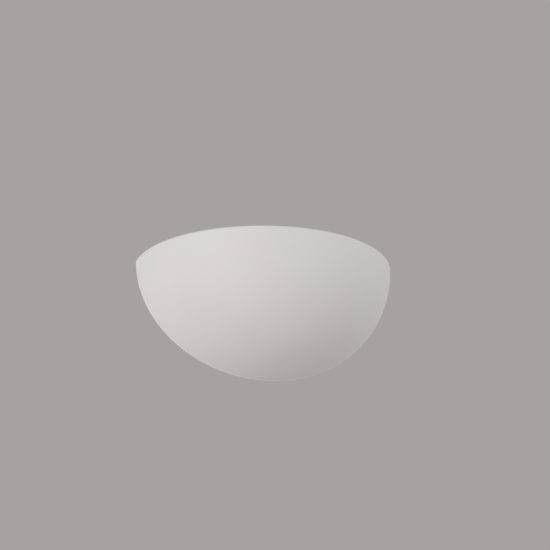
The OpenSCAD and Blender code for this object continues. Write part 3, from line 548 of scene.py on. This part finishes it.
def cap_skin():
    """Grid of the cap's sheet: up the outside and down the inside. The outside is the thread's wave,
    drawn in by the cone at the end, plain above, with eight dimples where it is crimped."""
    s = np.concatenate([np.linspace(cap_end, thread_end, 96),
                        np.linspace(thread_end + 0.2, cap_rim, 22)])
    cone = np.interp(s, [cap_end, cap_cone - 0.7, cap_cone],
                     [cap_crest_r - 2.0, cap_crest_r - 0.1, cap_crest_r])
    plain = ease(s, thread_end - 1.8, thread_end - 0.7)[:, None]
    wave = screw_wave(lamp_tip + s) * (1 - plain) + plain
    crest = cap_crest_r - thread_half_height + thread_half_height * wave
    across = np.clip(np.cos(crimps * ring(lamp_sides)), 0, 1) ** 3
    up = np.exp(-((s[:, None] - crimp_place) / crimp_half_width) ** 2)
    outside = np.minimum(cone[:, None], crest) - crimp_depth * across * up
    along = lamp_tip + np.concatenate([s, s[::-1]])
    both = np.concatenate([outside, outside[::-1] - cap_sheet])
    return skin(turned(along, both), ring_rows=True, ring_columns=True)


piece("lamp_cap_sheet", [cap_skin()], rolled_nickel, "lamp", ["lamp_cap"])


def black_glass():
    """Black glass pressed hot into the cap, glossy, with a few seeds in it."""
    material, here = finish("black_glass")
    flow = here.grain(2.5, 2)
    return lay_on(material, here, {
        "Base Color": flow.blend((0.006, 0.006, 0.008, 1), (0.016, 0.015, 0.018, 1)),
        "Roughness": 0.06 + flow * 0.08,
        "Normal": flow.bumps(0.00015, 0.5),
    })


def solder():
    """Soft grey solder, dull, with the flow lines of its drop."""
    material, here = finish("soft_solder")
    flow = here.grain(1.1, 3, 0.6)
    return lay_on(material, here, {
        "Base Color": flow.blend((0.46, 0.46, 0.47, 1), (0.62, 0.62, 0.62, 1)),
        "Metallic": 1.0,
        "Roughness": 0.30 + flow * 0.22,
        "Normal": flow.bumps(0.00012, 0.6),
    })


dress(["lamp_insulator"], black_glass())
dress(["lamp_tip_contact"], solder())

# ---------------------------------------------------------------- bulb, stem and filaments
# Clear blown glass, 60 mm across, on a glass stem. Four phosphor-coated filaments stand round the
# stem between steel wires, and glow a warm yellow.
bulb_r, bulb_middle, neck_r, neck_curve, glass_wall = 30.0, 75.0, 13.6, 40.0, 0.8
filament_low, filament_low_r, filament_length, filament_spread = 48.0, 5.6, 38.0, 9.0
filament_r, tab_r, coated_from, coated_to, swellings = 0.9, 0.42, 0.06, 0.94, 30


def bulb_outline(inwards):
    """Section of one face of the glass as (s, r), from the neck's end to the tip: a straight neck,
    a hollow arc of radius neck_curve + inwards and a ball of radius bulb_r - inwards, which meet on
    the line between the two middles."""
    arc_middle_r = neck_r + neck_curve
    arc_middle_s = bulb_middle - np.sqrt((bulb_r + neck_curve) ** 2 - arc_middle_r ** 2)
    meet = np.arctan2(bulb_middle - arc_middle_s, arc_middle_r)
    neck = np.array([(21.6, 12.15), (24.5, 12.15), (26.4, 12.2), (27.0, 12.5), (27.6, 13.1),
                     (28.3, neck_r - 0.1), (29.0, neck_r)]) - [0, inwards]
    hollow = np.linspace(0, meet, 26)[1:]
    arc = np.stack([arc_middle_s + (neck_curve + inwards) * np.sin(hollow),
                    arc_middle_r - (neck_curve + inwards) * np.cos(hollow)], -1)
    polar = np.linspace(np.pi / 2 + meet, 0, 74)[1:]
    bulb = np.stack([bulb_middle + (bulb_r - inwards) * np.cos(polar),
                     (bulb_r - inwards) * np.sin(polar)], -1)
    return np.concatenate([neck, arc, bulb])


def bulb_skin():
    """The outer face of the glass up to its tip and the inner face back down, joined at the neck."""
    line = np.concatenate([bulb_outline(0.0), bulb_outline(glass_wall)[::-1]])
    face = turned(lamp_tip + line[:, 0], np.maximum(line[:, 1:], 0))
    return skin(face, ring_rows=True, ring_columns=True)


def blown_glass(name):
    """Clear glass with the faint waves of blowing."""
    material, here = finish(name)
    waves = here.grain(14, 1)
    return lay_on(material, here, {
        "Base Color": (0.985, 0.99, 0.985, 1),
        "Transmission Weight": 1.0,
        "IOR": 1.5,
        "Roughness": 0.0,
        "Normal": waves.bumps(0.0003, 0.4),
    })


clear_glass = blown_glass("blown_glass")
piece("bulb_glass", [bulb_skin()], clear_glass, "lamp", ["lamp_glass"], crease=80)
dress(["lamp_stem"], clear_glass)


def filament_line(k, low, high, count):
    """Points along filament k, between those shares of its length: from filament_low up the lamp,
    leaning out as far as filament_spread from its axis, at a quarter turn from the next."""
    tilt = np.arcsin((filament_spread - filament_low_r) / filament_length)
    way = np.linspace(low, high, count) * filament_length
    out, turn = filament_low_r + way * np.sin(tilt), np.pi / 2 * (k + 0.5)
    return np.stack([lamp_tip + filament_low + way * np.cos(tilt), lamp_axis_y + out * np.cos(turn),
                     lamp_axis_z + out * np.sin(turn)], -1)


def filament_skins():
    """Four coated strips with a row of some thirty soft swellings, one over each tiny light."""
    share = np.linspace(coated_from, coated_to, 150)[:, None]
    swell = filament_r * (0.93 + 0.07 * np.abs(np.sin(np.pi * swellings * share)))
    swell[[0, -1]] *= 0.7
    return [tube(filament_line(k, coated_from, coated_to, len(share)), swell, 16) for k in range(4)]


def filament_tabs():
    """The bare metal end of each strip, from just inside its coat."""
    return [tube(filament_line(k, low, high, 6), np.full((6, 1), tab_r), 8)
            for k in range(4)
            for low, high in ((0.0, coated_from + 0.015), (coated_to - 0.015, 1.0))]


def glowing_phosphor():
    """Yellow phosphor in silicone, lit a little from inside."""
    material, here = finish("glowing_phosphor")
    grainy = here.grain(0.5, 3)
    return lay_on(material, here, {
        "Base Color": grainy.blend((0.86, 0.58, 0.14, 1), (0.92, 0.70, 0.26, 1)),
        "Roughness": 0.5,
        "Emission Color": grainy.blend((1.0, 0.62, 0.24, 1), (1.0, 0.72, 0.36, 1)),
        "Emission Strength": 2.5,
        "Normal": grainy.bumps(0.00005, 0.5),
    })


steel_wire = zinc_plate("steel_wire", (1.0, 0.1, 0.1))
piece("filament_strips", filament_skins(), glowing_phosphor(), "lamp", ["lamp_filaments"])
piece("filament_tabs", filament_tabs(), steel_wire, "lamp", [])
dress(["filament_supports"], steel_wire)

# ---------------------------------------------------------------- studs
# Two steel studs, pressed into the plate from behind, with a rolled thread of 0.7 mm pitch to the
# tip. Zinc plated.
stud_x, stud_tip, stud_pitch, thread_depth = 114.0, 23.8, 0.7, 0.15
stud_r, stud_tip_r, stud_head_r, stud_head = 2.0, 1.35, 3.6, 0.9


def stud_skin(side):
    """Grid round the stud's axis, from the middle of its flush head to its tip: the stud's radius
    less depth (1 - cos(2 pi s / pitch - a)) where the thread is full, eight rows to a turn."""
    head = [0, 0, 0.1, stud_head - 0.1, stud_head, stud_head]
    shank = np.arange(stud_head + 0.6, stud_tip - 0.55, stud_pitch / 8)
    s = np.concatenate([head, shank, [stud_tip - stud_pitch / 2, stud_tip, stud_tip]])
    angle = ring(32)
    core = np.interp(s, [stud_tip - stud_pitch, stud_tip], [stud_r, stud_tip_r])[:, None]
    full = (ease(s, 1.7, 2.6) * (1 - ease(s, stud_tip - 0.9, stud_tip - 0.4)))[:, None]
    radius = core - thread_depth * full * (1 - np.cos(2 * np.pi * s[:, None] / stud_pitch - angle))
    rounded = stud_head_r - 0.1
    radius[:5] = np.array([0, rounded, stud_head_r, stud_head_r, rounded])[:, None]
    radius[-1] = 0
    x = side * stud_x + radius * np.cos(angle)
    return skin(np.stack([x, np.broadcast_to(-s[:, None], x.shape), radius * np.sin(angle)], -1),
                ring_columns=True)


piece("threaded_studs", [stud_skin(-1), stud_skin(1)], screw_zinc, "base", ["bowl_studs"])

# ---------------------------------------------------------------- plaster bowl
# A quarter of a flattened ball, cast in plaster in a two-part mould and sanded: 8 mm walls, a
# half-round rim, the back edge softened by hand, and two lugs with a hole each inside its back.
bowl_width, bowl_depth, bowl_height, bowl_wall, rim_height = 310.0, 137.5, 139.0, 8.0, 45.0
ball = bowl_width / 2
ball_height = bowl_height / (1 + bowl_wall / bowl_width)
flat_y, flat_z = bowl_depth / ball, ball_height / ball
middle_z = rim_height - bowl_height + ball_height
back_softness, sanding = 0.9, 0.10
near_wall = np.radians([0, .03, .07, .12, .18, .25, .33, .45, .6, .8, 1.05, 1.4, 1.9, 2.6])
lug_middle, lug_half_wide, lug_half_high, lug_corner, lug_fillet = 150.0, 48.0, 17.0, 6.0, 7.0
lug_hole_r, lug_back, lug_front, lug_points = 2.6, 1.8, 13.8, 192
lug_round, hole_chamfer, flare_r, flare_from = 1.2, 0.35, 4.5, 9.0


def bowl_section():
    """The closed section of the bowl as radius, height and the way into the plaster, before the
    ball is flattened: outer quarter circle up, half circle over the rim, inner quarter circle down.
    Its rows crowd together where the bowl meets the wall."""
    rise = np.concatenate([near_wall - np.pi / 2, np.radians(np.linspace(-86.4, 0, 82))])
    over = np.radians(np.linspace(0, 180, 19))[1:-1]
    inside, half = ball - bowl_wall, bowl_wall / 2
    outer = np.stack([ball * np.cos(rise), ball * np.sin(rise), -np.cos(rise), -np.sin(rise)])
    bead = np.stack([inside + half + half * np.cos(over), half * np.sin(over),
                     -np.cos(over), -np.sin(over)])
    inner = np.stack([inside * np.cos(rise), inside * np.sin(rise), np.cos(rise), np.sin(rise)])
    lifted = np.concatenate([rise * 0, np.sin(over), rise * 0])
    return np.concatenate([outer, bead, inner[:, ::-1]], 1), lifted


def bowl_shell():
    """The section turned half round the upright line on the wall, then flattened, and how worn each
    point is. Within back_softness e of the wall, at e t, it is drawn into the plaster by
    e (1 - sqrt(1 - (1 - t)^2)), the round of the back edge, and the outside waves by up to a fifth
    of a millimetre, as sanding by hand leaves it."""
    section, lifted = bowl_section()
    out, high, into_out, into_high = section[:, :, None]
    turn = np.concatenate([near_wall, np.radians(np.linspace(3.6, 176.4, 150)),
                           np.pi - near_wall[::-1]])
    from_wall = out * np.sin(turn) * flat_y
    t = np.clip(from_wall / back_softness, 0, 1)
    drawn_in = back_softness * (1 - np.sqrt(np.clip(1 - (1 - t) ** 2, 0, 1)))
    waves = sanding * (1 + np.sin(3.2 * turn + 0.04 * high) * np.cos(0.05 * high - 1.1 * turn))
    outside = (into_out < 0) * ease(from_wall, 0, 30) * ease(-high, 0, 20)
    drawn_in = drawn_in + waves * outside
    out, high = out + into_out * drawn_in, high + into_high * drawn_in
    points = np.stack([out * np.cos(turn), -out * np.sin(turn) * flat_y, middle_z + high * flat_z], -1)
    return points, np.broadcast_to(lifted[:, None] ** 3, points.shape[:2])


def back_face(points, column):
    """The flat back on one side: each outer point is joined to the inner point at its own height."""
    count = len(points) // 2
    return skin(np.stack([points[:count, column], points[::-1][:count, column]], 1))


def inside_wall(y, z):
    """How far along X the inner face of the bowl lies, at that depth and height."""
    left = (ball - bowl_wall) ** 2 - (y / flat_y) ** 2 - ((z - middle_z) / flat_z) ** 2
    return np.sqrt(np.clip(left, 0, None))


def lug_reach(angle, y=-8.0):
    """Distance from the stud's axis to the edge of the lug in each direction of the wall's plane.
    The lug is a block with round corners, which runs on into the plaster, joined to the bowl's inner
    face by a smooth minimum of their two distances a and b: a (1 - h) + b h - k h (1 - h), with
    h = (1 + (a - b) / k) / 2. A ray stops where it leaves both or is 3 mm deep in the plaster."""
    t = np.linspace(2, 60, 1161)
    x, z = stud_x + np.cos(angle)[:, None] * t, np.sin(angle)[:, None] * t
    side_x = np.abs(x - lug_middle) - (lug_half_wide - lug_corner)
    side_z = np.abs(z) - (lug_half_high - lug_corner)
    past_corner = np.hypot(np.maximum(side_x, 0), np.maximum(side_z, 0))
    block = past_corner + np.minimum(np.maximum(side_x, side_z), 0) - lug_corner
    plaster = inside_wall(y, z) - x
    h = np.clip(0.5 + 0.5 * (plaster - block) / lug_fillet, 0, 1)
    both = plaster * (1 - h) + block * h - lug_fillet * h * (1 - h)
    return t[np.argmax((both > 0) | (plaster < -3.0), 1)]


def lug_edge(count):
    """Directions and distances from the stud's axis to points that lie evenly along the lug's edge,
    by the edge's summed length."""
    angle = np.linspace(0, 2 * np.pi, 1441)
    reach = lug_reach(angle)
    run = np.append(0, np.cumsum(np.hypot(np.diff(reach), reach[1:] * np.diff(angle))))
    at = np.arange(count) / count * run[-1]
    return np.interp(at, run, angle), np.interp(at, run, reach)


def lug_skin(side):
    """Grid round the stud's hole: the hole's wall forwards, the front face outwards with a rise
    where it runs into the bowl, the rounded edge, the side backwards and the back face inwards. The
    rise is a quarter circle of radius flare_r in the corner between the face and the bowl."""
    angle, reach = lug_edge(lug_points)
    hole = np.full((1, lug_points), lug_hole_r)
    mouth, flat = hole + hole_chamfer, reach - lug_round
    face = mouth + (flat - mouth) * np.linspace(0, 1, 14)[1:, None]
    bend = np.radians(np.linspace(0, 90, 7))
    edge = flat + lug_round * np.sin(bend)[:, None]
    r = np.concatenate([hole, hole, mouth, face, edge[1:], edge[::-1], face[-2::-1], mouth])
    fall = lug_round * (1 - np.cos(bend))
    d = np.concatenate([[lug_back + hole_chamfer, lug_front - hole_chamfer, lug_front],
                        np.full(13, lug_front), lug_front - fall[1:],
                        lug_back + fall[::-1], np.full(13, lug_back)])[:, None]
    x, z = stud_x + r * np.cos(angle), r * np.sin(angle)
    gap = np.clip(inside_wall(-d, z) - x, 0, flare_r)
    flare = flare_r - np.sqrt(flare_r ** 2 - (flare_r - gap) ** 2)
    d = d + flare * ease(d, flare_from, lug_front)
    return skin(np.stack([side * x, -d, z], -1), ring_rows=True, ring_columns=True)


def sanded_plaster():
    """White plaster, dead matt: faint clouds where it dried, a fine tooth from sanding, pin holes of
    trapped air coloured darker as painted shade, a rim slightly greyed and smoothed where hands rub
    it, and a lighter line along the back edge, near the wall, that is a painted highlight."""
    material, here = finish("sanded_plaster")
    cloud = here.grain(60, 3, 0.55)
    dust = here.grain(2.2, 3, 0.6)
    tooth = here.stretched(0.35, 0.35, 1.0).grain(0.45, 3, 0.7)
    holes = here.dots(160.0, 0.04, 0.085) * here.grain(7).step(0.56, 0.62)
    handled = here.node("ShaderNodeAttribute", {"attribute_name": "wear"}, None, "Fac")
    rubbed = handled * here.grain(5, 4).step(0.35, 0.7)
    # Painted highlight: the base colour turns lighter in a line along the back edge, within 1.2 to 3 mm
    # of the wall.
    painted_edge_highlight = here.axes()[1].step(-0.0030, -0.0012)
    colour = cloud.blend((0.735, 0.70, 0.692, 1), (0.772, 0.743, 0.735, 1))
    colour = (dust * 0.12).blend(colour, (0.66, 0.63, 0.60, 1))
    # Painted shade: the pin holes are coloured darker than the plaster round them.
    colour = (holes * 0.55).blend(colour, (0.45, 0.42, 0.39, 1))
    colour = (rubbed * 0.15).blend(colour, (0.62, 0.585, 0.55, 1))
    return lay_on(material, here, {
        "Base Color": (painted_edge_highlight * 0.9).blend(colour, (0.90, 0.875, 0.855, 1)),
        "Roughness": 0.92 - rubbed * 0.2,
        "Specular IOR Level": 0.3,
        "Normal": (1 - holes).bumps(0.0003, 0.5, tooth.bumps(0.00006, 0.55, dust.bumps(0.00012, 0.35))),
    })


shell_points, shell_wear = bowl_shell()
backs_and_lugs = [back_face(shell_points, 0), back_face(shell_points, -1), lug_skin(-1), lug_skin(1)]
unworn = np.zeros(sum(len(corners) for corners, faces, wrap in backs_and_lugs))
piece("cast_bowl", [skin(shell_points)] + backs_and_lugs, sanded_plaster(), "bowl", ["plaster_bowl"],
      crease=50, wear=np.concatenate([shell_wear.ravel(), unworn]))

# ---------------------------------------------------------------- washers and knurled nuts
# Two zinc washers spread the load on the plaster, and two brass nuts with straight flutes are
# turned by hand from above. They come away with the bowl.
dress(["stud_washers"], screw_zinc)
dress(["knurled_nuts"], bare_brass("turned_brass", stud_x))

# ---------------------------------------------------------------- room and light
# A pale floor far below, an even pale room and three large soft lights: the strongest at the left,
# one in front like a window, and a weak one that grazes the right side. The camera looks up at the
# bowl from the left, as the photograph does.
room_tone = (0.386, 0.361, 0.356, 1)


def room():
    """The room's tone for the eye and for metal and glass, and a dimmer even light for the rest."""
    world = bpy.data.worlds.new("room")
    world.use_nodes = True
    bpy.context.scene.world = world
    tree = world.node_tree
    kinds = tree.nodes.new("ShaderNodeLightPath").outputs
    looked, glossy, through = (Shade(tree, kinds[f"Is {kind} Ray"])
                               for kind in ("Camera", "Glossy", "Transmission"))
    shown = (looked + glossy + through).step(0.0, 1.0)
    light = shown.node("ShaderNodeBackground", None, {"Color": (1, 1, 1, 1), "Strength": 0.467})
    view = shown.node("ShaderNodeBackground", None, {"Color": room_tone, "Strength": 1.0})
    both = shown.node("ShaderNodeMixShader", None, {0: shown, 1: light, 2: view})
    tree.links.new(both.socket, tree.nodes["World Output"].inputs["Surface"])


def soft_light(name, place, size, watts):
    """A square light that faces the bowl and that the camera doesn't see."""
    lamp = bpy.data.lights.new(name, "AREA")
    lamp.size, lamp.energy = size, watts
    holder = bpy.data.objects.new(name, lamp)
    holder.location = place
    aim = Vector((0, -0.06, -0.02)) - Vector(place)
    holder.rotation_euler = aim.to_track_quat("-Z", "Y").to_euler()
    holder.visible_camera = False
    bpy.context.scene.collection.objects.link(holder)


def floor():
    """A flat pale floor, 1.7 m below and wide enough to pass under every view."""
    mesh = bpy.data.meshes.new("floor")
    corners = [(x, y, -1.7) for x, y in ((-9, -9), (9, -9), (9, 9), (-9, 9))]
    mesh.from_pydata(corners, [], [(0, 1, 2, 3)])
    material, here = finish("pale_floor")
    looked_at = here.node("ShaderNodeLightPath", None, None, "Is Camera Ray")
    mesh.materials.append(lay_on(material, here, {
        "Base Color": looked_at.blend((0.72, 0.70, 0.68, 1), (0.86, 0.81, 0.79, 1)),
        "Roughness": 0.9,
        "Specular IOR Level": 0.0,
    }))
    made = bpy.data.objects.new("floor", mesh)
    bpy.context.scene.collection.objects.link(made)


def camera():
    """The photograph's view: 17.3 degrees to the left, 21.6 below, rolled 1.57, 1.86 m away, with the
    ball's middle, which lies on the wall, at the pixel (262.4, 273.1) of 550."""
    turn, lift, roll = np.radians([-17.3, -21.6, 1.57])
    away, frame_side, middle_pixel = 1.86, 550, (262.4, 273.1)
    back = np.array([np.sin(turn) * np.cos(lift), -np.cos(turn) * np.cos(lift), np.sin(lift)])
    right = np.array([np.cos(turn), np.sin(turn), 0])
    up = np.cross(back, right)
    right, up = right * np.cos(roll) - up * np.sin(roll), right * np.sin(roll) + up * np.cos(roll)
    stand = np.eye(4)
    stand[:3, :3] = np.stack([right, up, back], 1)
    stand[:3, 3] = away * back + [0, 0, middle_z / 1000]
    eye = bpy.data.cameras.new("camera")
    eye.lens, eye.sensor_width = 101.4, 36
    eye.shift_x = 0.5 - middle_pixel[0] / frame_side
    eye.shift_y = middle_pixel[1] / frame_side - 0.5
    made = bpy.data.objects.new("camera", eye)
    made.matrix_world = Matrix(stand.tolist())
    bpy.context.scene.collection.objects.link(made)
    bpy.context.scene.camera = made


room()
floor()
soft_light("left_side", (-2.12, -0.62, -0.42), 1.7, 24.5)
soft_light("window", (0.80, -2.15, 0.60), 1.7, 19.5)
soft_light("right_side", (1.4, 1.38, -0.02), 1.6, 9)
camera()
bpy.context.scene.view_settings.view_transform = "Standard"
